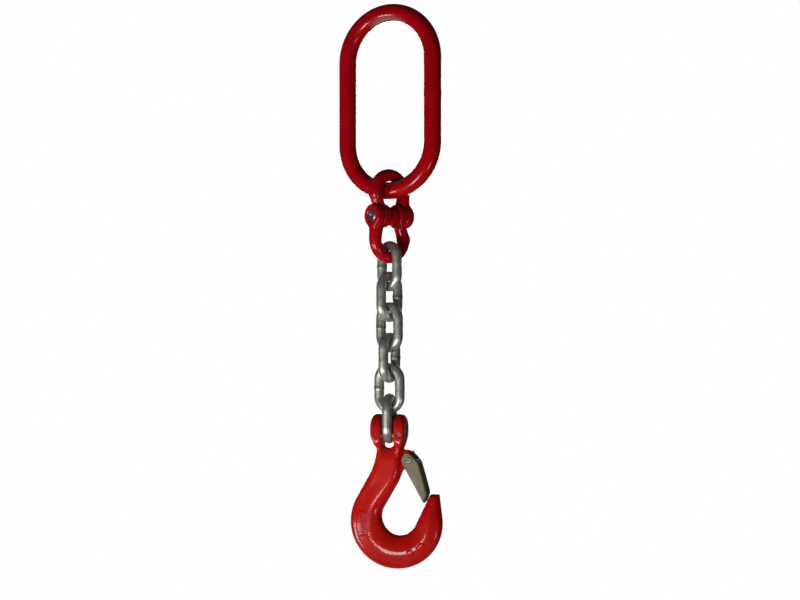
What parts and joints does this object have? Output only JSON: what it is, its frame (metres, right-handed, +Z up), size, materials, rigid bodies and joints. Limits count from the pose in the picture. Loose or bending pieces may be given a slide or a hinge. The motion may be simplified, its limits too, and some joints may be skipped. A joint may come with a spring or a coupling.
{
  "type": "single-leg chain sling with clevis latch hook",
  "caption": "Single-leg lifting chain sling: oblong master link, hinged coupling link, short-link chain and a clevis sling hook with a sprung safety latch.",
  "frame": {"origin": "top of the inside of the master link, where a crane hook bears", "axes": "+Z up, along the hanging sling; X across the master link, which lies in the XZ plane"},
  "size_m": [0.114, 0.0534, 0.5679],
  "materials": {
    "master_red": "gloss, dark red enamel",
    "coupling_red": "gloss, dark red enamel",
    "hook_red": "gloss, bright red powder coat",
    "chain_steel": "satin, tumbled and lightly oiled",
    "latch_zinc": "satin, olive passivated zinc",
    "pin_steel": "satin, dark heat-treated",
    "spring_steel": "satin, dark spring steel"
  },
  "bodies": {
    "master_link": {"master_link": "master_red"},
    "coupling_upper": {"coupling_upper_half": "coupling_red", "coupling_load_pin": "pin_steel", "coupling_sleeve": "coupling_red", "coupling_lock_bush": "spring_steel"},
    "coupling_lower": {"coupling_lower_half": "coupling_red"},
    "link_1": {"chain_link_1": "chain_steel"},
    "link_2": {"chain_link_2": "chain_steel"},
    "link_3": {"chain_link_3": "chain_steel"},
    "link_4": {"chain_link_4": "chain_steel"},
    "link_5": {"chain_link_5": "chain_steel"},
    "link_6": {"chain_link_6": "chain_steel"},
    "hook": {"hook_body": "hook_red", "clevis_load_pin": "pin_steel", "clevis_roll_pin": "spring_steel", "latch_pivot_pin": "pin_steel", "latch_spring": "spring_steel"},
    "latch": {"latch": "latch_zinc"}
  },
  "joints": [
    {"name": "coupling_swing", "type": "hinge", "parent": "master_link", "child": "coupling_upper", "pos_m": [0, 0, -0.17], "axis": [1, 0, 0], "range_deg": [-60, 60]},
    {"name": "coupling_hinge", "type": "hinge", "parent": "coupling_upper", "child": "coupling_lower", "pos_m": [0, 0, -0.1957], "axis": [0.3907, 0.9205, 0], "range_deg": [-60, 60]},
    {"name": "link_1_swing", "type": "hinge", "parent": "coupling_lower", "child": "link_1", "pos_m": [0, 0, -0.23695], "axis": [-0.4067, -0.9135, 0], "range_deg": [-60, 60]},
    {"name": "link_2_swing", "type": "hinge", "parent": "link_1", "child": "link_2", "pos_m": [0, 0, -0.2664], "axis": [-0.9613, 0.2756, 0], "range_deg": [-60, 60]},
    {"name": "link_3_swing", "type": "hinge", "parent": "link_2", "child": "link_3", "pos_m": [0, 0, -0.2971], "axis": [0.2924, 0.9563, 0], "range_deg": [-60, 60]},
    {"name": "link_4_swing", "type": "hinge", "parent": "link_3", "child": "link_4", "pos_m": [0, 0, -0.3278], "axis": [0.9986, -0.0523, 0], "range_deg": [-60, 60]},
    {"name": "link_5_swing", "type": "hinge", "parent": "link_4", "child": "link_5", "pos_m": [0, 0, -0.35831], "axis": [-0.0523, -0.9986, 0], "range_deg": [-60, 60]},
    {"name": "link_6_swing", "type": "hinge", "parent": "link_5", "child": "link_6", "pos_m": [0, 0, -0.38901], "axis": [-0.9659, -0.2588, 0], "range_deg": [-22, 22]},
    {"name": "hook_swing", "type": "hinge", "parent": "link_6", "child": "hook", "pos_m": [0, 0, -0.40763], "axis": [0.9659, 0.2588, 0], "range_deg": [-60, 60]},
    {"name": "latch_pivot", "type": "hinge", "parent": "hook", "child": "latch", "pos_m": [0.02086, 0.00559, -0.43983], "axis": [-0.2588, 0.9659, 0], "range_deg": [0, 34], "stiffness_Nm_per_rad": 0.08, "springref_deg": -45.84, "deforming": ["latch_spring"]}
  ]
}
